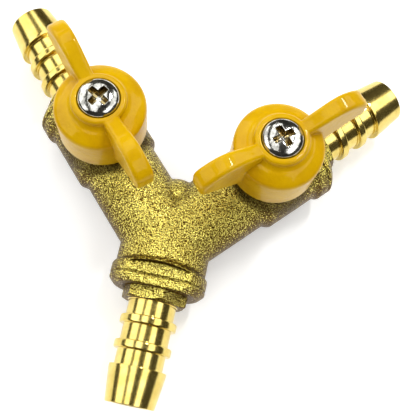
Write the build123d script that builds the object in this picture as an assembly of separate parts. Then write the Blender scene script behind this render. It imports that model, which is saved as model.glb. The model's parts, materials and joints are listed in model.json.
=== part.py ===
from build123d import *
import os
from math import cos, radians, sin

# Two-way hose splitter: a forged brass Y with a quarter-turn ball valve in each arm.
# All sizes are in millimetres and all angles in degrees. The part lies on its back:
# X runs across the Y, +Y points towards the two outlets, and +Z points up at the handles.

# --- Layout of the Y -----------------------------------------------------------------
ARM_ANGLE = 43.3          # each outlet arm from the +Y axis
STEM_REACH = 25.5         # junction of the port axes to each valve stem, along the arm
AXIS_HEIGHT = 9.6         # port axes above the pads that the body rests on
INLET_FACE = 10.7         # junction to the end face of the inlet collar
OUTLET_FACE = 37.2        # junction to the end face of each outlet collar

# --- Hose fittings (three alike) -----------------------------------------------------
BORE_R = 3.4
THREAD_R = 6.5            # 13 mm fine thread, drawn as a plain cylinder
THREAD_CLEARANCE = 0.03   # between every drawn thread and its hole
HEX_FLATS = 12.0
HEX_LENGTH = 2.3
HEX_CORNER_R = 6.85
HEX_BEVEL = 0.35
HEX_TURN = {"inlet": 15.0, "left": 8.0, "right": 22.0}   # where each thread came tight
BARB_LENGTH = 20.3        # from the hexagon's outer face to the tip
BARB_NECK_R = 4.9
BARB_CREST_R = 5.8
BARB_TIP_R = 4.95
CONE_LENGTH = 7.2
CONE_LAND = 0.5           # cylindrical land at the cone's large end
RING_LENGTH = 1.7
RING_EDGE = 0.3
RING_CENTRES = (11.2, 16.2)   # ring centres, measured back from the tip
SEAL_GROOVE_START = 0.7   # from the fitting's inner face
SEAL_GROOVE_WIDTH = 1.2
SEAL_R = 0.5              # half the thickness of the fitting's O-ring
SEAL_CLEARANCE = 0.025

# --- Body forging --------------------------------------------------------------------
ARM_R = 8.1
CHAMBER_R = 9.2
CHAMBER_START = 19.0      # along the arm, where the neck begins to swell
CHAMBER_STEP = 1.5
INLET_HALF_WIDTH = 9.35
INLET_HALF_HEIGHT = 8.3
COLLAR_R = 9.95
COLLAR_LENGTH = 5.9       # shoulder and both bands
SHOULDER_LENGTH = 1.7
GROOVE_FROM_FACE = 2.0    # score line round each collar
GROOVE_WIDTH = 0.35
GROOVE_DEPTH = 0.3
COLLAR_CHAMFER = 1.25
WRENCH_FLATS = 15.0       # across the two flats of each collar
FLAT_HALF_WIDTH = 8.0
FLAT_LENGTH = 4.6         # longest reach of a wrench flat, from the collar's face
FLAT_ARC_RISE = 1.2
CROTCH_R = 5.9            # rounded metal that fills the bottom of the fork
CROTCH_CENTRE_Y = 8.2     # its centre, from the junction towards the outlets
PAD_R = 4.4
PAD_DEPTH = 2.0
INLET_PAD_Y = 1.0         # centre of the third pad, from the junction towards the inlet
BOSS_R = 6.3              # heights from here on are above the port axes
BOSS_TOP = 12.9
STOP_R = 7.2
STOP_BOTTOM = 6.0
STOP_TOP = 12.7
STOP_HALF_ANGLE = 8.0
STOP_ANGLE = 90.0         # direction of the body's stop, from the arm's own direction

# --- Ball and seats ------------------------------------------------------------------
BALL_R = 5.6
BALL_CLEARANCE = 0.05
CAVITY_R = 6.2
SEAT_R = 6.1
SEAT_BACK = 6.4           # ball centre to the back of each seat
SEAT_FRONT = 3.0
SLOT_FLOOR = 3.95
SLOT_WIDTH = 2.1

# --- Stem ----------------------------------------------------------------------------
STEM_R = 3.4
STEM_BORE_R = 3.45
STEM_TOP = 17.0
STEM_FLANGE_R = 4.4
FLANGE_POCKET_R = 4.5
FLANGE_BOTTOM = 6.4
FLANGE_TOP = 7.5
WASHER_THICKNESS = 0.4
BLADE_BOTTOM = 4.05
BLADE_WIDTH = 2.0
BLADE_LENGTH = 4.8
STEM_GROOVES = (8.5, 10.2)    # lower edge of each O-ring groove
STEM_GROOVE_WIDTH = 1.0
STEM_GROOVE_R = 2.55
STEM_RING_R = 0.42        # half the thickness of a stem O-ring
STEM_RING_CENTRE_R = 3.0
DRIVE_BOTTOM = 13.1
DRIVE_FLATS = 5.4
DRIVE_CLEARANCE = 0.05

# --- Handle --------------------------------------------------------------------------
HANDLE_TURN = {"left": 1.5, "right": 5.5}   # clockwise from the open stop, as stored
QUARTER_TURN = 90.0
SKIRT_R = 8.9
SKIRT_BOTTOM = 10.9
SKIRT_TOP = 18.4
SKIRT_INNER_R = 7.6
SKIRT_CEILING = 17.2
BELL_POINTS = ((8.6, 19.25), (7.8, 19.85), (6.5, 20.6))   # radius and height
POST_R = 4.9
POST_BOTTOM = 13.3
SOCKET_TOP = 17.05
HUB_R = 5.3
HUB_FOOT = 21.4
HUB_TOP = 22.6
HUB_EDGE = 0.7
COUNTERBORE_R = 4.1
COUNTERBORE_FLOOR = 20.9
SCREW_HOLE_R = 2.2
RIB_INNER_R = 6.75        # stop ribs inside the skirt
RIB_OUTER_R = 7.8
RIB_BOTTOM = 11.6
RIB_HALF_ANGLE = 7.0
STOP_GAP_ANGLE = 1.0
WING_START = 4.6
WING_REACH = 18.3
WING_TOP_START = 22.5
WING_TOP_SLOPE = 0.35
WING_TOP_POINTS = ((8.5, 24.15), (12.6, 25.3), (16.0, 24.3))    # reach and height
WING_TIP_LOW = 19.3
WING_TIP_HIGH = 21.6
WING_ROOT_LOW = 12.9
WING_ROOT_HALF = 1.6
WING_TIP_HALF = 1.95
WING_EDGE = 0.8

# --- Screw and lock washer -----------------------------------------------------------
SCREW_R = 2.0             # M4
SCREW_HEAD_R = 4.0
SCREW_RIM = 0.8
SCREW_DOME = 1.3
SCREW_END = 12.0
SCREW_HOLE_END = 11.7
SCREW_TURN = {"left": 18.0, "right": 0.0}     # where each screw came tight
RECESS_HALF_FLOOR = 1.85  # the cross recess at its floor; it widens upwards
RECESS_FLOOR_WIDTH = 0.7
RECESS_DEPTH = 1.8
RECESS_TAPER = 10.0
LOCK_WASHER_THICKNESS = 0.8
LOCK_WASHER_R = 3.6
LOCK_WASHER_GAP = 0.6
LOCK_WASHER_BORE_R = 2.15

SIDES = {"left": -1, "right": 1}
BARB_TIP = HEX_LENGTH + BARB_LENGTH         # from a collar's face to its barb's tip
THREAD_LENGTH = OUTLET_FACE - STEM_REACH - SEAT_BACK    # each fitting's end holds a seat
INLET_TIP = INLET_FACE + BARB_TIP
OUTLET_TIP = OUTLET_FACE + BARB_TIP
# The origin is below the middle of the bounding box, so the junction sits off centre.
FARTHEST_Y = OUTLET_TIP * cos(radians(ARM_ANGLE)) + BARB_TIP_R * sin(radians(ARM_ANGLE))
JUNCTION = Vector(0, (INLET_TIP - FARTHEST_Y) / 2, AXIS_HEIGHT)
BURIED = 1.0              # how far joined volumes run into each other


def outline_face(points):
    """Closed face in the XZ plane from (radius, height) points."""
    return make_face(Plane.XZ * Polyline(*points, close=True))


def turned(points):
    """Solid of revolution about Z from (radius, height) points."""
    return revolve(outline_face(points), Axis.Z)


def rod(radius, low, high):
    """Cylinder about Z between two heights."""
    return Pos(0, 0, low) * extrude(Circle(radius), high - low)


def ring(inner, outer, low, high):
    return rod(outer, low, high) - rod(inner, low, high)


def block(x_size, y_size, low, high):
    """Box centred on Z between two heights."""
    return Pos(0, 0, low) * extrude(Rectangle(x_size, y_size), high - low)


def ring_sector(inner, outer, low, high, half_angle, centre_angle):
    """Part of a ring about Z, spread evenly about one direction."""
    reach = 2 * outer
    across = reach * sin(radians(half_angle))
    along = reach * cos(radians(half_angle))
    wedge = make_face(Polyline((0, 0), (along, across), (along, -across), close=True))
    wedge = Pos(0, 0, low) * extrude(wedge, high - low)
    return Rot(0, 0, centre_angle) * (ring(inner, outer, low, high) & wedge)


def o_ring(centre_r, section_r, height):
    return Pos(0, 0, height) * Torus(centre_r, section_r)


def port(angle):
    """Frame at the junction: Z along a port, X pointing up; the angle is from +Y."""
    outward = (sin(radians(angle)), cos(radians(angle)), 0)
    return Location(Plane(origin=JUNCTION, x_dir=(0, 0, 1), z_dir=outward))


def arm_port(side):
    return port(SIDES[side] * ARM_ANGLE)


def inlet_port():
    return port(180)


def ball_frame(side):
    """Frame at a ball's centre: Z up the stem, X outward along the arm."""
    angle = SIDES[side] * ARM_ANGLE
    centre = JUNCTION + Vector(sin(radians(angle)), cos(radians(angle)), 0) * STEM_REACH
    return Pos(*centre) * Rot(0, 0, 90 - angle)


def valve_frame(side):
    """Frame of the turning pieces, which stand a few degrees off the open stop."""
    return ball_frame(side) * Rot(0, 0, -HANDLE_TURN[side])


# --- Hose fittings -------------------------------------------------------------------
def barb_outline():
    """Half-section of the barb from its neck at the hexagon out to the tip."""
    cone_start = BARB_TIP - CONE_LENGTH
    shoulder_r = BARB_CREST_R - RING_EDGE
    points = [(BARB_NECK_R, 0)]
    for centre in reversed(RING_CENTRES):
        low = BARB_TIP - centre - RING_LENGTH / 2
        high = low + RING_LENGTH
        points += [(BARB_NECK_R, low), (shoulder_r, low), (BARB_CREST_R, low + RING_EDGE)]
        points += [(BARB_CREST_R, high - RING_EDGE), (shoulder_r, high), (BARB_NECK_R, high)]
    points += [(BARB_NECK_R, cone_start), (BARB_CREST_R, cone_start)]
    points += [(BARB_CREST_R, cone_start + CONE_LAND), (BARB_TIP_R, BARB_TIP)]
    return points


def hose_fitting():
    """Fitting along Z: thread below, hexagon on the collar's face at Z = 0, barb above."""
    groove_low = SEAL_GROOVE_START - THREAD_LENGTH
    groove_high = groove_low + SEAL_GROOVE_WIDTH
    groove_r = THREAD_R - 2 * SEAL_R
    points = [(BORE_R, -THREAD_LENGTH), (THREAD_R, -THREAD_LENGTH)]
    points += [(THREAD_R, groove_low), (groove_r, groove_low)]
    points += [(groove_r, groove_high), (THREAD_R, groove_high), (THREAD_R, 0)]
    points += barb_outline() + [(BORE_R, BARB_TIP)]
    bevel_r = HEX_CORNER_R - 2 * HEX_BEVEL
    trim = turned([(BORE_R, 0), (HEX_CORNER_R, 0), (HEX_CORNER_R, HEX_LENGTH - HEX_BEVEL),
                   (bevel_r, HEX_LENGTH), (BORE_R, HEX_LENGTH)])
    hexagon = extrude(RegularPolygon(HEX_FLATS / 2, 6, major_radius=False), HEX_LENGTH)
    return turned(points) + (hexagon & trim)


def fitting_seal():
    """O-ring in the groove at the fitting's inner end."""
    height = SEAL_GROOVE_START + SEAL_GROOVE_WIDTH / 2 - THREAD_LENGTH
    return o_ring(THREAD_R - SEAL_R, SEAL_R - SEAL_CLEARANCE, height)


# --- Body ----------------------------------------------------------------------------
def collar(face):
    """Two-band collar about Z whose outer face is at the given distance."""
    start = face - COLLAR_LENGTH
    groove = face - GROOVE_FROM_FACE
    groove_r = COLLAR_R - GROOVE_DEPTH
    inner_r = THREAD_R - BURIED
    shape = turned([(inner_r, start), (ARM_R, start), (COLLAR_R, start + SHOULDER_LENGTH),
                    (COLLAR_R, groove - GROOVE_WIDTH / 2), (groove_r, groove),
                    (COLLAR_R, groove + GROOVE_WIDTH / 2), (COLLAR_R, face - COLLAR_CHAMFER),
                    (COLLAR_R - COLLAR_CHAMFER, face), (inner_r, face)])
    return shape


def wrench_flat(face):
    """Cutter for one wrench flat of a collar; its inner end is a shallow arc."""
    corner = face - FLAT_LENGTH + FLAT_ARC_RISE
    arc = ThreePointArc((-FLAT_HALF_WIDTH, corner), (0, face - FLAT_LENGTH),
                        (FLAT_HALF_WIDTH, corner))
    sides = Polyline((FLAT_HALF_WIDTH, corner), (FLAT_HALF_WIDTH, face + BURIED),
                     (-FLAT_HALF_WIDTH, face + BURIED), (-FLAT_HALF_WIDTH, corner))
    # The outline's first axis lies across the port and its second runs out along it.
    plane = Plane(origin=(WRENCH_FLATS / 2, 0, 0), x_dir=(0, 1, 0), z_dir=(1, 0, 0))
    return extrude(plane * make_face([arc, sides]), 2 * BURIED + COLLAR_R - WRENCH_FLATS / 2)


def collar_flats(face):
    """Cutters for the two opposite flats of one collar, each with its score line."""
    score_depth = GROOVE_DEPTH + BURIED
    score_centre = WRENCH_FLATS / 2 - GROOVE_DEPTH + score_depth / 2
    score = Box(score_depth, 2 * FLAT_HALF_WIDTH, GROOVE_WIDTH)
    cutter = wrench_flat(face) + Pos(score_centre, 0, face - GROOVE_FROM_FACE) * score
    return cutter + Rot(0, 0, 180) * cutter


def arm_shell():
    """Outside of one arm, about Z from the junction."""
    swell = CHAMBER_START + CHAMBER_STEP
    collar_start = OUTLET_FACE - COLLAR_LENGTH
    chamber = turned([(0, CHAMBER_START), (ARM_R, CHAMBER_START), (CHAMBER_R, swell),
                      (CHAMBER_R, collar_start + BURIED), (0, collar_start + BURIED)])
    return rod(ARM_R, 0, CHAMBER_START + BURIED) + chamber


def inlet_shell():
    neck = extrude(Ellipse(INLET_HALF_HEIGHT, INLET_HALF_WIDTH), INLET_FACE - COLLAR_LENGTH + BURIED)
    dome = Sphere(INLET_HALF_HEIGHT)
    return neck + dome


def crotch_web():
    """Rounded metal at the bottom of the fork, its poles away from the arms."""
    return Pos(*JUNCTION) * Pos(0, CROTCH_CENTRE_Y, 0) * Rot(90, 0, 0) * Sphere(CROTCH_R)


def stem_boss():
    """Boss round the stem, with the quarter-turn stop on its side."""
    stop = ring_sector(BOSS_R - BURIED, STOP_R, STOP_BOTTOM, STOP_TOP, STOP_HALF_ANGLE, STOP_ANGLE)
    return rod(BOSS_R, BALL_R, BOSS_TOP) + stop


def rest_pad(centre):
    """Round pad under the body, with its flat face at Z = 0."""
    return Pos(centre.X, centre.Y, 0) * rod(PAD_R, 0, PAD_DEPTH)


def fitting_hole(face):
    return rod(THREAD_R + THREAD_CLEARANCE, face - THREAD_LENGTH, face + BURIED)


def valve_cavity():
    """Room for the ball, its seats and the stem, in the ball's frame."""
    along_arm = Rot(0, 90, 0)
    ball_room = along_arm * rod(CAVITY_R, -SEAT_BACK, SEAT_BACK)
    flange_pocket = rod(FLANGE_POCKET_R, 0, FLANGE_TOP + WASHER_THICKNESS)
    return ball_room + flange_pocket + rod(STEM_BORE_R, 0, BOSS_TOP + BURIED)


def body():
    """The forged and machined brass body."""
    ports = {"inlet": (inlet_port(), INLET_FACE)}
    for side in SIDES:
        ports[side] = (arm_port(side), OUTLET_FACE)
    shape = inlet_port() * inlet_shell() + crotch_web()
    for side in SIDES:
        shape += arm_port(side) * arm_shell()
        shape += ball_frame(side) * stem_boss()
    for frame, face in ports.values():
        shape += frame * collar(face)
        shape -= frame * collar_flats(face)
    shape += rest_pad(JUNCTION - Vector(0, INLET_PAD_Y, 0))
    for side in SIDES:
        shape += rest_pad(ball_frame(side).position)
    shape -= Pos(*JUNCTION) * Sphere(BORE_R)
    for frame, face in ports.values():
        shape -= frame * (rod(BORE_R, 0, face) + fitting_hole(face))
    for side in SIDES:
        shape -= ball_frame(side) * valve_cavity()
    return shape


# --- Ball valve ----------------------------------------------------------------------
def ball():
    """Ball with its port along X and the stem's slot across it on top."""
    slot = block(SLOT_WIDTH, 2 * BALL_R, SLOT_FLOOR, BALL_R + BURIED)
    return Sphere(BALL_R) - Rot(0, 90, 0) * rod(BORE_R, -BALL_R, BALL_R) - slot


def seat():
    """Seat ring about Z, on the far side of the ball from the origin's -Z."""
    return ring(BORE_R, SEAT_R, SEAT_FRONT, SEAT_BACK) - Sphere(BALL_R + BALL_CLEARANCE)


def double_d(radius, flats, low, high):
    """Round bar with two flats, the section that turns the handle with the stem."""
    return rod(radius, low, high) & block(flats, 2 * radius, low, high)


def stem():
    """Stem with a blade for the ball, a retaining flange, two O-ring grooves and a drive."""
    shape = rod(STEM_FLANGE_R, FLANGE_BOTTOM, FLANGE_TOP)
    shape += rod(STEM_R, FLANGE_BOTTOM, DRIVE_BOTTOM)
    shape += double_d(STEM_R, DRIVE_FLATS, DRIVE_BOTTOM, STEM_TOP)
    shape += block(BLADE_WIDTH, BLADE_LENGTH, BLADE_BOTTOM, FLANGE_TOP)
    for low in STEM_GROOVES:
        shape -= ring(STEM_GROOVE_R, STEM_R + BURIED, low, low + STEM_GROOVE_WIDTH)
    return shape - rod(SCREW_R + THREAD_CLEARANCE, SCREW_HOLE_END, STEM_TOP)


def thrust_washer():
    return ring(STEM_BORE_R, STEM_FLANGE_R, FLANGE_TOP, FLANGE_TOP + WASHER_THICKNESS)


def stem_o_rings():
    lower, upper = (low + STEM_GROOVE_WIDTH / 2 for low in STEM_GROOVES)
    return o_ring(STEM_RING_CENTRE_R, STEM_RING_R, lower) + o_ring(STEM_RING_CENTRE_R, STEM_RING_R, upper)


# --- Handle --------------------------------------------------------------------------
def bell():
    """Round middle of the handle: hollow skirt, sloping bell, hub and counterbore."""
    slope = [(SKIRT_R, SKIRT_TOP), *BELL_POINTS, (HUB_R, HUB_FOOT)]
    edge_r = HUB_R - HUB_EDGE
    arc_mid = (edge_r + HUB_EDGE * cos(radians(45)), HUB_TOP - HUB_EDGE * (1 - sin(radians(45))))
    lines = [
        Polyline((SKIRT_INNER_R, SKIRT_BOTTOM), (SKIRT_R, SKIRT_BOTTOM), (SKIRT_R, SKIRT_TOP)),
        Spline(*slope, tangents=((0, 1), (-1, 1))),
        Line((HUB_R, HUB_FOOT), (HUB_R, HUB_TOP - HUB_EDGE)),
        ThreePointArc((HUB_R, HUB_TOP - HUB_EDGE), arc_mid, (edge_r, HUB_TOP)),
        Polyline((edge_r, HUB_TOP), (COUNTERBORE_R, HUB_TOP), (COUNTERBORE_R, COUNTERBORE_FLOOR),
                 (SCREW_HOLE_R, COUNTERBORE_FLOOR), (SCREW_HOLE_R, POST_BOTTOM),
                 (POST_R, POST_BOTTOM), (POST_R, SKIRT_CEILING),
                 (SKIRT_INNER_R, SKIRT_CEILING), (SKIRT_INNER_R, SKIRT_BOTTOM)),
    ]
    return revolve(Plane.XZ * make_face(lines), Axis.Z)


def wing():
    """One wing along +X, rounded on every outer edge."""
    in_wall = (SKIRT_R + SKIRT_INNER_R) / 2
    above_ceiling = SKIRT_CEILING + WING_EDGE
    side = make_face([
        Line((WING_START, above_ceiling), (WING_START, WING_TOP_START)),
        Spline((WING_START, WING_TOP_START), *WING_TOP_POINTS, (WING_REACH, WING_TIP_HIGH),
               tangents=((1, WING_TOP_SLOPE), (0, -1))),
        Polyline((WING_REACH, WING_TIP_HIGH), (WING_REACH, WING_TIP_LOW),
                 (in_wall, WING_ROOT_LOW), (in_wall, above_ceiling), (WING_START, above_ceiling)),
    ])
    side = extrude(Plane.XZ * side, 2 * WING_TIP_HALF, both=True)
    plan = Polyline((WING_START, -WING_ROOT_HALF), (WING_REACH, -WING_TIP_HALF),
                    (WING_REACH, WING_TIP_HALF), (WING_START, WING_ROOT_HALF), close=True)
    plan = extrude(make_face(plan), 2 * WING_TOP_START)
    shape = side & plan
    outer = [edge for edge in shape.edges() if edge.center().X > SKIRT_R]
    return fillet(outer, WING_EDGE)


def stop_ribs():
    """Two ribs inside the skirt that meet the body's stop when open and when closed."""
    spacing = STOP_HALF_ANGLE + RIB_HALF_ANGLE + STOP_GAP_ANGLE
    angles = (STOP_ANGLE - spacing, STOP_ANGLE + spacing + QUARTER_TURN)
    ribs = [ring_sector(RIB_INNER_R, RIB_OUTER_R, RIB_BOTTOM, SKIRT_CEILING + BURIED,
                        RIB_HALF_ANGLE, angle) for angle in angles]
    return ribs[0] + ribs[1]


def handle():
    """Two-winged handle, in the ball's frame with its wings along X."""
    shape = bell() + wing() + Rot(0, 0, 180) * wing() + stop_ribs()
    drive_r = STEM_R + DRIVE_CLEARANCE
    drive_flats = DRIVE_FLATS + 2 * DRIVE_CLEARANCE
    return shape - double_d(drive_r, drive_flats, POST_BOTTOM, SOCKET_TOP)


def lock_washer():
    """Split spring washer under the screw's head."""
    top = COUNTERBORE_FLOOR + LOCK_WASHER_THICKNESS
    washer = ring(LOCK_WASHER_BORE_R, LOCK_WASHER_R, COUNTERBORE_FLOOR, top)
    gap = Pos(LOCK_WASHER_R, 0, 0) * block(2 * LOCK_WASHER_R, LOCK_WASHER_GAP, COUNTERBORE_FLOOR, top)
    return washer - gap


def cross_recess(top):
    """Cross recess that widens as it rises to the given height."""
    floor = Pos(0, 0, top - RECESS_DEPTH)
    slot = extrude(floor * Rectangle(2 * RECESS_HALF_FLOOR, RECESS_FLOOR_WIDTH),
                   RECESS_DEPTH + BURIED, taper=-RECESS_TAPER)
    return slot + Rot(0, 0, 90) * slot


def handle_screw():
    """Pan-head machine screw with a domed head and a cross recess."""
    seat_z = COUNTERBORE_FLOOR + LOCK_WASHER_THICKNESS
    rim_z = seat_z + SCREW_RIM
    top_z = rim_z + SCREW_DOME
    lines = [
        Polyline((0, SCREW_END), (SCREW_R, SCREW_END), (SCREW_R, seat_z), (SCREW_HEAD_R, seat_z),
                 (SCREW_HEAD_R, rim_z)),
        Spline((SCREW_HEAD_R, rim_z), (SCREW_HEAD_R * 0.75, rim_z + SCREW_DOME * 0.72), (0, top_z),
               tangents=((-0.3, 1), (-1, 0))),
        Line((0, top_z), (0, SCREW_END)),
    ]
    return revolve(Plane.XZ * make_face(lines), Axis.Z) - cross_recess(top_z)


# --- Assembly ------------------------------------------------------------------------
def assembly():
    """Every piece in place, by the name of its node."""
    pieces = {"body": body()}
    ports = {"inlet": (inlet_port(), INLET_FACE)}
    for side in SIDES:
        ports[side] = (arm_port(side), OUTLET_FACE)
    for name, (frame, face) in ports.items():
        place = frame * Pos(0, 0, face) * Rot(0, 0, HEX_TURN[name])
        prefix = "inlet" if name == "inlet" else name + "_outlet"
        pieces[prefix + "_fitting"] = place * hose_fitting()
        pieces[prefix + "_seal"] = place * fitting_seal()
    for side in SIDES:
        fixed = ball_frame(side)
        turning = valve_frame(side)
        pieces[side + "_outer_seat"] = fixed * Rot(0, 90, 0) * seat()
        pieces[side + "_inner_seat"] = fixed * Rot(0, -90, 0) * seat()
        pieces[side + "_thrust_washer"] = fixed * thrust_washer()
        pieces[side + "_ball"] = turning * ball()
        pieces[side + "_stem"] = turning * stem()
        pieces[side + "_stem_o_rings"] = turning * stem_o_rings()
        pieces[side + "_handle"] = turning * handle()
        pieces[side + "_lock_washer"] = turning * lock_washer()
        pieces[side + "_handle_screw"] = turning * Rot(0, 0, SCREW_TURN[side]) * handle_screw()
    return pieces


os.makedirs("parts", exist_ok=True)
for node, piece in assembly().items():
    export_step(piece, f"parts/{node}.step")
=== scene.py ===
import json
import math

import bpy
import numpy as np
from mathutils import Matrix, Vector, noise


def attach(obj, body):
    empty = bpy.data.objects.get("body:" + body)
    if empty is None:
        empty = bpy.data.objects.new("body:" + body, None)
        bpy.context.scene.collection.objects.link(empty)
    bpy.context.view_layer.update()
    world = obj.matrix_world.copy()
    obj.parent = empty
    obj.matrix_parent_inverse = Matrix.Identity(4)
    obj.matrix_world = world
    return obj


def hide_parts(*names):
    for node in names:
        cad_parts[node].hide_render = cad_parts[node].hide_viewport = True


MM = 0.001
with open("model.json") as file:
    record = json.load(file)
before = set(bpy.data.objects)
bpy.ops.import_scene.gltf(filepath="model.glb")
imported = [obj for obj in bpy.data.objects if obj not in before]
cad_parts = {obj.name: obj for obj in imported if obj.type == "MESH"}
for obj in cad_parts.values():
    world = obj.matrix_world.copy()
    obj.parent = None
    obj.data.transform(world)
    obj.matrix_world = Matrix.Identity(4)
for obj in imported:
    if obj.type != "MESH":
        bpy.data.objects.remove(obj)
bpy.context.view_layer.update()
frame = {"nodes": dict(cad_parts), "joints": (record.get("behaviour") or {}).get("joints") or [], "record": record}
record = frame["record"]
ports = {m["name"]: (Vector(m["pos_m"]), Vector(m["axis"]).normalized())
         for m in record["mounts"] if m["kind"] == "pin"}
hinges = {j["child"]: Vector(j["pos_m"]) for j in frame["joints"]}

# Sizes of the hose fittings, in millimetres and degrees, the same as the CAD part's.
MOUNT_CENTRE = 11.4         # from a collar's face out to its barb mount's point
THREAD_LENGTH = 5.3
BORE_R = 3.4
THREAD_R = 6.5
HEX_HALF_FLATS = 6.0
HEX_CORNER_R = 6.85
HEX_LENGTH = 2.3
HEX_BEVEL = 0.35
HEX_TURN = {"inlet": 15.0, "left_outlet": 8.0, "right_outlet": 22.0}
BARB_TIP = 22.6
NECK_R = 4.9
CREST_R = 5.8
TIP_R = 4.95
CONE_LENGTH = 7.2
CONE_LAND = 0.5
RING_CENTRES = (16.2, 11.2)     # back from the tip
RING_LENGTH = 1.7

# How the fittings' surfaces are drawn, in millimetres unless a note says otherwise.
THREAD_INSET = 0.02         # thread's surface under its nominal radius
FACE_GAP = 0.01             # hexagon's inner face off the collar
BORE_EDGE = 0.02            # points this near the bore's radius belong to the bore
SEGMENTS = 180              # points round a fitting
LARGEST_ROUNDING = 0.45     # share of an edge that a rounding may take
SMALLEST_ROUNDING = 0.005
SUPPORT = 0.04              # extra row beside each rounding
SUPPORT_SHARE = 0.04        # and the share of an edge that it may take
TOOL_MARKS = 6              # scale of the noise that varies the turned skin
SHARP_ANGLE = 25            # degrees

# Marks on the forged body, in millimetres unless a note says otherwise.
GROOVE_FROM_FACE = 2.0      # score line round each collar
GROOVE_WIDTH = 0.13
GROOVE_DEPTH = 0.14
GROOVE_INNER_R = 7.0
GROOVE_OUTER_R = 10.2
SKIRT_SHADOW_R = 10.1               # painted shadow on the body round each handle's skirt
SKIRT_SHADOW_FADE = 1.3
HOLLOW_SHADE_SHARE = 0.6          # share of full painted shade in the body's other hollows
LUMP_SIZE = 0.9
LUMP_DEPTH = 0.05

# Stretches of the body that keep their exact size, in millimetres.
PORT_KEPT_R = 7.0
PORT_KEPT_FROM = 0.3        # depths under each collar's face
PORT_KEPT_TO = 34.0
STEM_KEPT_R = 4.9
STEM_KEPT_TOP = 12.6        # above the port axes

# Socket numbers of the Mix node when it mixes colours.
MIX_FACTOR, MIX_FIRST, MIX_SECOND, MIX_RESULT = 0, 6, 7, 2


# --- Materials -----------------------------------------------------------------------
def material(name, metallic=0.0, roughness=0.4, colour=(0.5, 0.5, 0.5)):
    """A new material, its node tree and its Principled shader."""
    new = bpy.data.materials.new(name)
    new.use_nodes = True
    tree = new.node_tree
    shader = tree.nodes["Principled BSDF"]
    shader.inputs["Metallic"].default_value = metallic
    shader.inputs["Roughness"].default_value = roughness
    shader.inputs["Base Color"].default_value = (*colour, 1)
    return new, tree, shader


def object_point(tree):
    return tree.nodes.new("ShaderNodeTexCoord").outputs["Object"]


def noise_map(tree, grain_mm, detail=3.0, rough=0.55):
    """Noise whose grains are about the given size; its output runs from 0 to 1."""
    node = tree.nodes.new("ShaderNodeTexNoise")
    node.inputs["Scale"].default_value = 1 / (grain_mm * MM)
    node.inputs["Detail"].default_value = detail
    node.inputs["Roughness"].default_value = rough
    tree.links.new(object_point(tree), node.inputs["Vector"])
    return node.outputs["Fac"]


def ranged(tree, value, low, high, to_low, to_high):
    """The value carried from one range to another, held at both ends."""
    node = tree.nodes.new("ShaderNodeMapRange")
    for index, number in enumerate((low, high, to_low, to_high)):
        node.inputs[index + 1].default_value = number
    tree.links.new(value, node.inputs[0])
    return node.outputs[0]


def mixed(tree, factor, first, second, blend="MIX"):
    """Colour between two colours, each a tuple or a socket."""
    node = tree.nodes.new("ShaderNodeMix")
    node.data_type = "RGBA"
    node.blend_type = blend
    for source, socket in ((factor, MIX_FACTOR), (first, MIX_FIRST), (second, MIX_SECOND)):
        if isinstance(source, bpy.types.NodeSocket):
            tree.links.new(source, node.inputs[socket])
        elif socket == MIX_FACTOR:
            node.inputs[socket].default_value = source
        else:
            node.inputs[socket].default_value = (*source, 1)
    return node.outputs[MIX_RESULT]


def added(tree, first, second, weight):
    """first plus second times weight."""
    scaled = tree.nodes.new("ShaderNodeMath")
    scaled.operation = "MULTIPLY"
    tree.links.new(second, scaled.inputs[0])
    scaled.inputs[1].default_value = weight
    node = tree.nodes.new("ShaderNodeMath")
    node.operation = "ADD"
    tree.links.new(first, node.inputs[0])
    tree.links.new(scaled.outputs[0], node.inputs[1])
    return node.outputs[0]


def bump(tree, shader, height, depth_mm):
    """Bump on the shader, in which a height of 1 stands for the given depth."""
    node = tree.nodes.new("ShaderNodeBump")
    node.inputs["Distance"].default_value = depth_mm * MM
    tree.links.new(height, node.inputs["Height"])
    tree.links.new(node.outputs["Normal"], shader.inputs["Normal"])


def attribute(tree, name):
    """A number stored at each point of the mesh."""
    node = tree.nodes.new("ShaderNodeAttribute")
    node.attribute_name = name
    return node.outputs["Fac"]


def facing_up(tree):
    """How far the surface faces up: 1 on top, 0 on the flanks, -1 underneath."""
    geometry = tree.nodes.new("ShaderNodeNewGeometry")
    split = tree.nodes.new("ShaderNodeSeparateXYZ")
    tree.links.new(geometry.outputs["Normal"], split.inputs[0])
    return split.outputs["Z"]


def forged_brass():
    """Blasted brass: bright facets over a dull olive skin, painted brighter on top and darker on the flanks, with
    painted shade in hollows.
    """
    dull_skin = (0.125, 0.07, 0.013)
    bright_facet = (0.97, 0.85, 0.23)
    # Colour of the painted shade in hollows, in the score lines and round the handles' skirts.
    painted_shade = (0.07, 0.045, 0.010)
    new, tree, shader = material("forged_brass", metallic=1.0)
    fine = noise_map(tree, 0.24, detail=0.8, rough=0.5)
    medium = noise_map(tree, 0.8, detail=2.0)
    patch = noise_map(tree, 5.0, detail=2.0)
    grain = added(tree, fine, medium, weight=0.14)
    # Painted light: the surface's facing adds to the grain, so the top is drawn brighter and the flanks darker.
    lit = added(tree, grain, facing_up(tree), weight=0.27)
    skin = mixed(tree, ranged(tree, lit, 0.72, 0.845, 0, 1), dull_skin, bright_facet)
    tone = mixed(tree, ranged(tree, patch, 0.35, 0.65, 0, 1), (0.84, 0.82, 0.76), (1.0, 1.0, 1.0))
    skin = mixed(tree, 1.0, skin, tone, "MULTIPLY")
    # Painted shade: the shade mask darkens hollows, score lines and the body round each skirt.
    in_hollow = ranged(tree, attribute(tree, "hollow"), 0.2, 1.0, 0, 0.75)
    skin = mixed(tree, in_hollow, skin, painted_shade)
    tree.links.new(skin, shader.inputs["Base Color"])
    tree.links.new(ranged(tree, fine, 0.35, 0.65, 0.42, 0.20), shader.inputs["Roughness"])
    bump(tree, shader, grain, 0.24)
    return new


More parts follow.
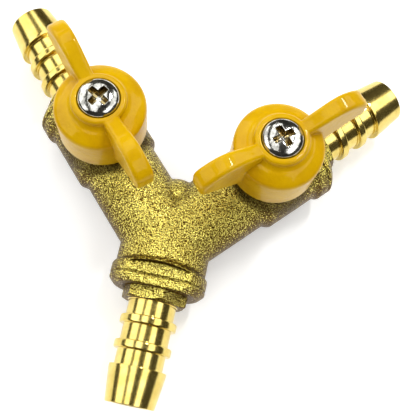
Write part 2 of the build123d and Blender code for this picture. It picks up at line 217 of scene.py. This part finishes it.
def turned_brass():
    """Bright turned brass with faint tool marks and a little tarnish, dull inside the bore."""
    clean = (0.80, 0.655, 0.24)
    tarnished = (0.64, 0.50, 0.15)
    tool_mark = (0.5, 0.34, 0.06)
    new, tree, shader = material("turned_brass", metallic=1.0, roughness=0.13)
    tarnish = noise_map(tree, 2.5, detail=4.0)
    speck = noise_map(tree, 0.25, detail=2.0)
    skin = mixed(tree, ranged(tree, tarnish, 0.35, 0.7, 0, 1), clean, tarnished)
    skin = mixed(tree, ranged(tree, attribute(tree, "tool"), 0.0, 1.0, 0, 0.25), skin, tool_mark)
    tree.links.new(skin, shader.inputs["Base Color"])
    bore = attribute(tree, "bore")
    rough = added(tree, ranged(tree, speck, 0.3, 0.7, 0.13, 0.24), bore, weight=0.35)
    tree.links.new(rough, shader.inputs["Roughness"])
    tree.links.new(ranged(tree, bore, 0, 1, 1.0, 0.4), shader.inputs["Metallic"])
    bump(tree, shader, added(tree, attribute(tree, "tool"), speck, weight=0.25), 0.008)
    return new


def yellow_paint():
    """Thick glossy paint over a casting, with a faint orange peel and painted shade in its hollows."""
    deep = (0.60, 0.345, 0.0)
    pale = (0.72, 0.45, 0.0)
    painted_hollow_shade = (0.42, 0.17, 0.0)
    new, tree, shader = material("yellow_paint")
    patch = noise_map(tree, 5.0, detail=3.0)
    peel = noise_map(tree, 1.3, detail=2.0)
    fine = noise_map(tree, 0.35, detail=2.0)
    paint = mixed(tree, ranged(tree, patch, 0.3, 0.7, 0, 1), deep, pale)
    # Painted shade: deeper orange in the handle's hollows.
    paint = mixed(tree, ranged(tree, attribute(tree, "hollow"), 0.1, 1.0, 0, 0.6), paint, painted_hollow_shade)
    tree.links.new(paint, shader.inputs["Base Color"])
    tree.links.new(ranged(tree, fine, 0.3, 0.7, 0.30, 0.42), shader.inputs["Roughness"])
    shader.inputs["Specular IOR Level"].default_value = 0.1
    shader.inputs["Coat Weight"].default_value = 0.35
    shader.inputs["Coat Roughness"].default_value = 0.03
    shader.inputs["Coat IOR"].default_value = 1.5
    bump(tree, shader, added(tree, peel, fine, weight=0.25), 0.08)
    return new


def plated(name, colour, roughness):
    """Bright plating with fine scuffs, and painted shade, brown and dark, in the hollows."""
    new, tree, shader = material(name, metallic=1.0, roughness=roughness, colour=colour)
    scuff = noise_map(tree, 0.4, detail=4.0, rough=0.7)
    cloud = noise_map(tree, 1.8, detail=3.0)
    dull = tuple(c * 0.45 for c in colour)
    skin = mixed(tree, ranged(tree, cloud, 0.38, 0.62, 0, 1), colour, dull)
    # Painted shade: dark brown in the hollows, such as a screw's cross recess.
    painted_shade = mixed(tree, scuff, (0.09, 0.065, 0.025), (0.60, 0.50, 0.27))
    skin = mixed(tree, ranged(tree, attribute(tree, "hollow"), 0.05, 0.5, 0, 1), skin, painted_shade)
    tree.links.new(skin, shader.inputs["Base Color"])
    tree.links.new(ranged(tree, scuff, 0.3, 0.75, roughness * 0.7, roughness * 1.7),
                   shader.inputs["Roughness"])
    bump(tree, shader, added(tree, cloud, scuff, weight=0.15), 0.06)
    return new


def moulded(name, colour, roughness):
    """Rubber or plastic with a fine matt grain."""
    new, tree, shader = material(name, roughness=roughness, colour=colour)
    grain = noise_map(tree, 0.5, detail=3.0)
    cloud = noise_map(tree, 4.0)
    shade = tuple(c * 0.8 for c in colour)
    tree.links.new(mixed(tree, cloud, colour, shade), shader.inputs["Base Color"])
    tree.links.new(ranged(tree, grain, 0.3, 0.7, roughness * 0.85, min(1.0, roughness * 1.15)),
                   shader.inputs["Roughness"])
    bump(tree, shader, grain, 0.02)
    return new


FORGED = forged_brass()
TURNED = turned_brass()
PAINT = yellow_paint()
CHROME = plated("bright_chrome", (0.68, 0.675, 0.63), 0.10)
SPRING = plated("spring_steel", (0.58, 0.58, 0.57), 0.28)
STEM_BRASS = plated("stem_brass", (0.86, 0.68, 0.33), 0.20)
SEAT = moulded("seat_ptfe", (0.86, 0.86, 0.83), 0.45)
RUBBER = moulded("nitrile_rubber", (0.02, 0.02, 0.021), 0.55)


# --- Softened castings ---------------------------------------------------------------
def vertex_array(mesh):
    points = np.zeros(len(mesh.vertices) * 3)
    mesh.vertices.foreach_get("co", points)
    return points.reshape(-1, 3)


def vertex_normals(mesh):
    normals = np.zeros(len(mesh.vertices) * 3)
    mesh.vertex_normals.foreach_get("vector", normals)
    return normals.reshape(-1, 3)


def evaluated_mesh(piece):
    depsgraph = bpy.context.evaluated_depsgraph_get()
    return bpy.data.meshes.new_from_object(piece.evaluated_get(depsgraph))


def smoothed(piece, passes):
    """The piece's points after some passes of smoothing."""
    modifier = piece.modifiers.new("smooth", "SMOOTH")
    modifier.factor = 0.5
    modifier.iterations = passes
    points = vertex_array(evaluated_mesh(piece))
    piece.modifiers.remove(modifier)
    return points


def softened(node, voxel_mm, passes, hollow_passes, hollow_mm, keep=None):
    """A finely remeshed copy of a CAD node whose edges and inner corners are rounded."""
    piece = bpy.data.objects.new(node + "_surface", frame["nodes"][node].data.copy())
    bpy.context.scene.collection.objects.link(piece)
    remesh = piece.modifiers.new("remesh", "REMESH")
    remesh.mode = "VOXEL"
    remesh.voxel_size = voxel_mm * MM
    remesh.use_smooth_shade = True
    piece.data = evaluated_mesh(piece)
    piece.modifiers.clear()
    before = vertex_array(piece.data)
    after = smoothed(piece, passes)
    if keep is not None:
        kept = keep(before)
        after[kept] = before[kept]
    piece.data.vertices.foreach_set("co", after.ravel())
    piece.data.update()
    # How deep each point sits in one of the piece's hollows, kept as the mask of painted shade.
    outward = ((smoothed(piece, hollow_passes) - after) * vertex_normals(piece.data)).sum(axis=1)
    hollow = np.clip(outward / (hollow_mm * MM), 0, 1)
    piece.data.attributes.new("hollow", "FLOAT", "POINT").data.foreach_set("value", hollow)
    return piece


def sunken(piece, depth_mm):
    """Marks a round piece's points by their depth under its outside at the same radius, as the mask of painted
    shade in its recess.
    """
    ring_mm = 0.1
    points = vertex_array(piece.data)
    centre = (points[:, :2].max(axis=0) + points[:, :2].min(axis=0)) / 2
    rings = (np.linalg.norm(points[:, :2] - centre, axis=1) / (ring_mm * MM)).astype(int)
    tops = np.full(rings.max() + 1, -1.0)
    np.maximum.at(tops, rings, points[:, 2])
    depth = np.clip((tops[rings] - points[:, 2]) / (depth_mm * MM), 0, 1)
    piece.data.attributes["hollow"].data.foreach_set("value", depth)


def set_material(piece, *materials):
    piece.data.materials.clear()
    for entry in materials:
        piece.data.materials.append(entry)


def port_face(name):
    """Centre of a collar's face, and the direction out of its port."""
    centre, axis = ports[name + "_barb"]
    return centre - axis * MOUNT_CENTRE * MM, axis


def along_and_across(points, origin, axis):
    """Distance of each point along an axis, and away from it."""
    offset = points - np.array(origin)
    along = offset @ np.array(axis)
    return along, np.linalg.norm(offset - np.outer(along, axis), axis=1)


def inside_body(points):
    """True for points near the body's bores and cavities, which keep their exact size."""
    inner = np.zeros(len(points), bool)
    for name in ("inlet", "left_outlet", "right_outlet"):
        along, across = along_and_across(points, *port_face(name))
        inner |= (across < PORT_KEPT_R * MM) & (along < -PORT_KEPT_FROM * MM) & (along > -PORT_KEPT_TO * MM)
    for hinge in hinges.values():
        _, across = along_and_across(points, hinge, (0, 0, 1))
        inner |= (across < STEM_KEPT_R * MM) & (points[:, 2] < hinge.z + STEM_KEPT_TOP * MM)
    return inner


def forged_body():
    """The body with rounded forging radii, a shallow uneven skin, its score lines and its mask of painted shade.
    """
    piece = softened("body", voxel_mm=0.17, passes=7, hollow_passes=30, hollow_mm=0.16, keep=inside_body)
    points = vertex_array(piece.data)
    normals = vertex_normals(piece.data)
    outer = ~inside_body(points)
    hollow = np.zeros(len(points))
    piece.data.attributes["hollow"].data.foreach_get("value", hollow)
    hollow *= HOLLOW_SHADE_SHARE
    for name in ("inlet", "left_outlet", "right_outlet"):
        along, across = along_and_across(points, *port_face(name))
        near = np.exp(-((along / MM + GROOVE_FROM_FACE) / GROOVE_WIDTH) ** 2)
        near *= outer & (across < GROOVE_OUTER_R * MM) & (across > GROOVE_INNER_R * MM)
        points -= normals * (near * GROOVE_DEPTH * MM)[:, None]
        # Painted shade: the score line is drawn dark as well as cut into the skin.
        hollow = np.maximum(hollow, near)
    # Painted shadow: the body is darkened in a ring round each handle's skirt.
    for hinge in hinges.values():
        _, across = along_and_across(points, hinge, (0, 0, 1))
        skirt_shadow = np.clip((SKIRT_SHADOW_R - across / MM) / SKIRT_SHADOW_FADE, 0, 1)
        hollow = np.maximum(hollow, skirt_shadow)
    lumps = [noise.noise(Vector(point) / (LUMP_SIZE * MM)) for point in points]
    dents = (np.array(lumps) * 0.5 + 0.5) * LUMP_DEPTH * MM * outer
    points -= normals * dents[:, None]
    piece.data.vertices.foreach_set("co", points.ravel())
    piece.data.attributes["hollow"].data.foreach_set("value", hollow)
    piece.data.update()
    set_material(piece, FORGED)
    return piece


# --- Hose fittings -------------------------------------------------------------------
def rounded(corners, steps=4):
    """Profile through (radius, height, rounding, hexagonal) corners, each turned into an arc."""
    rows = []
    count = len(corners)
    for index, (r, z, size, hexagonal) in enumerate(corners):
        here = Vector((r, z))
        back = Vector(corners[index - 1][:2]) - here
        ahead = Vector(corners[(index + 1) % count][:2]) - here
        reach = min(size, back.length * LARGEST_ROUNDING, ahead.length * LARGEST_ROUNDING)
        if reach < SMALLEST_ROUNDING:
            rows.append((r, z, hexagonal))
            continue
        start = here + back.normalized() * reach
        end = here + ahead.normalized() * reach
        support = min(reach * 0.5, SUPPORT)
        before = start + back.normalized() * min(support, back.length * SUPPORT_SHARE)
        after = end + ahead.normalized() * min(support, ahead.length * SUPPORT_SHARE)
        rows.append((*before, hexagonal))
        for step in range(steps + 1):
            t = step / steps
            point = start * (1 - t) ** 2 + here * (2 * t * (1 - t)) + end * t ** 2
            rows.append((*point, hexagonal))
        rows.append((*after, hexagonal))
    return rows


def fitting_profile():
    """Closed profile of a fitting from its inner end, round the barb and back down the bore."""
    thread_r = THREAD_R - THREAD_INSET
    corners = [(BORE_R, -THREAD_LENGTH, 0.1, 0), (thread_r, -THREAD_LENGTH, 0.2, 0),
               (thread_r, FACE_GAP, 0.0, 0), (HEX_CORNER_R, FACE_GAP, 0.06, 1),
               (HEX_CORNER_R, HEX_LENGTH - HEX_BEVEL, 0.05, 1),
               (HEX_CORNER_R - 2 * HEX_BEVEL, HEX_LENGTH, 0.05, 1), (NECK_R, HEX_LENGTH, 0.2, 0)]
    for centre in RING_CENTRES:
        low = BARB_TIP - centre - RING_LENGTH / 2
        high = low + RING_LENGTH
        corners += [(NECK_R, low, 0.16, 0), (CREST_R, low, 0.42, 0),
                    (CREST_R, high, 0.42, 0), (NECK_R, high, 0.16, 0)]
    cone = BARB_TIP - CONE_LENGTH
    corners += [(NECK_R, cone, 0.12, 0), (CREST_R, cone, 0.12, 0), (CREST_R, cone + CONE_LAND, 0.2, 0),
                (TIP_R, BARB_TIP, 0.14, 0), (BORE_R, BARB_TIP, 0.12, 0)]
    return rounded(corners)


def fitting(prefix):
    """One hose fitting: hexagon and barb turned in one piece."""
    rows = fitting_profile()
    face, axis = port_face(prefix)
    up = Vector((0, 0, 1))
    place = Matrix((up, axis.cross(up), axis)).transposed()
    turn = math.radians(HEX_TURN[prefix])
    verts = []
    tool = []
    bore = []
    for r, z, hexagonal in rows:
        for segment in range(SEGMENTS):
            angle = 2 * math.pi * segment / SEGMENTS
            off_flat = (math.degrees(angle) + 30) % 60 - 30
            radius = min(r, HEX_HALF_FLATS / math.cos(math.radians(off_flat))) if hexagonal else r
            local = Vector((radius * math.cos(angle + turn), radius * math.sin(angle + turn), z)) * MM
            verts.append(face + place @ local)
            tool.append(0.5 + 0.5 * noise.noise(Vector((r, z, 0)) * TOOL_MARKS))
            bore.append(float(r < BORE_R + BORE_EDGE))
    faces = []
    for row in range(len(rows)):
        following = (row + 1) % len(rows)
        for segment in range(SEGMENTS):
            after = (segment + 1) % SEGMENTS
            faces.append((row * SEGMENTS + segment, row * SEGMENTS + after,
                          following * SEGMENTS + after, following * SEGMENTS + segment))
    mesh = bpy.data.meshes.new(prefix + "_fitting_surface")
    mesh.from_pydata(verts, [], faces)
    piece = bpy.data.objects.new(prefix + "_fitting_surface", mesh)
    bpy.context.scene.collection.objects.link(piece)
    set_material(piece, TURNED, FORGED)
    for polygon in mesh.polygons:
        polygon.use_smooth = True
        row = polygon.index // SEGMENTS
        polygon.material_index = rows[row][2] or rows[(row + 1) % len(rows)][2]
    mesh.attributes.new("tool", "FLOAT", "POINT").data.foreach_set("value", tool)
    mesh.attributes.new("bore", "FLOAT", "POINT").data.foreach_set("value", bore)
    mesh.set_sharp_from_angle(angle=math.radians(SHARP_ANGLE))
    return piece


# --- Pieces --------------------------------------------------------------------------
body = forged_body()
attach(body, "root")
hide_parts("body")

for prefix in ("inlet", "left_outlet", "right_outlet"):
    piece = fitting(prefix)
    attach(piece, "root")
    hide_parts(prefix + "_fitting")

for side in ("left", "right"):
    handle = softened(side + "_handle", voxel_mm=0.12, passes=4, hollow_passes=60, hollow_mm=0.25)
    set_material(handle, PAINT)
    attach(handle, side + "_valve")
    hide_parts(side + "_handle")
    screw = softened(side + "_handle_screw", voxel_mm=0.07, passes=2, hollow_passes=10, hollow_mm=0.16)
    sunken(screw, depth_mm=1.0)
    set_material(screw, CHROME)
    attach(screw, side + "_valve")
    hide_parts(side + "_handle_screw")
    for node, finish in (("_ball", CHROME), ("_lock_washer", SPRING), ("_stem", STEM_BRASS),
                         ("_stem_o_rings", RUBBER), ("_outlet_seal", RUBBER), ("_inner_seat", SEAT),
                         ("_outer_seat", SEAT), ("_thrust_washer", SEAT)):
        set_material(frame["nodes"][side + node], finish)
set_material(frame["nodes"]["inlet_seal"], RUBBER)


# --- Studio --------------------------------------------------------------------------
def studio_floor():
    """A pale floor that gives off a little light, so that the part's shadow stays faint."""
    mesh = bpy.data.meshes.new("floor")
    half = 0.8
    mesh.from_pydata([(-half, -half, 0), (half, -half, 0), (half, half, 0), (-half, half, 0)], [],
                     [(0, 1, 2, 3)])
    floor = bpy.data.objects.new("floor", mesh)
    bpy.context.scene.collection.objects.link(floor)
    new, _, shader = material("pale_floor", roughness=0.9, colour=(0.93, 0.93, 0.925))
    shader.inputs["Emission Color"].default_value = (1, 0.995, 0.98, 1)
    shader.inputs["Emission Strength"].default_value = 0.3
    set_material(floor, new)


def softbox(name, angle, width, length, brightness, tilt):
    """Area light over the part, swung to one side of the vertical and leaning along Y."""
    distance = 1.0
    light = bpy.data.lights.new(name, "AREA")
    light.shape = "RECTANGLE"
    light.size = width
    light.size_y = length
    light.energy = brightness * math.pi * width * length
    lamp = bpy.data.objects.new(name, light)
    turn = Matrix.Rotation(math.radians(tilt), 4, "X") @ Matrix.Rotation(math.radians(angle), 4, "Y")
    lamp.matrix_world = turn @ Matrix.Translation((0, 0, distance))
    bpy.context.scene.collection.objects.link(lamp)


def studio_world():
    """Dim surroundings for the reflections, pale where the camera looks past the floor."""
    world = bpy.data.worlds.new("studio")
    bpy.context.scene.world = world
    world.use_nodes = True
    tree = world.node_tree
    background = tree.nodes["Background"]
    path = tree.nodes.new("ShaderNodeLightPath")
    colour = mixed(tree, path.outputs["Is Camera Ray"], (0.09, 0.085, 0.075), (0.95, 0.95, 0.945))
    tree.links.new(colour, background.inputs["Color"])


studio_floor()
studio_world()
softbox("left_softbox", -54, 0.62, 1.7, 1.7, tilt=-14)
softbox("top_softbox", -14, 0.42, 1.7, 1.8, tilt=-14)
softbox("right_softbox", 37, 0.46, 1.7, 1.9, tilt=-14)
softbox("glint_strip", 14, 0.05, 0.30, 48.0, tilt=-26)

camera_data = bpy.data.cameras.new("camera")
camera_data.sensor_fit = "VERTICAL"
camera_data.sensor_height = 36
camera_data.lens = 59.485
camera = bpy.data.objects.new("camera", camera_data)
camera.location = (0.0053784, -0.0423418, 0.1491071)
camera.rotation_euler = (math.radians(17.2743), math.radians(-3.7350), math.radians(11.7405))
bpy.context.scene.collection.objects.link(camera)
bpy.context.scene.camera = camera
camera_data.clip_start = 0.005
bpy.context.scene.view_settings.view_transform = "Standard"
bpy.context.scene.view_settings.look = "Medium High Contrast"
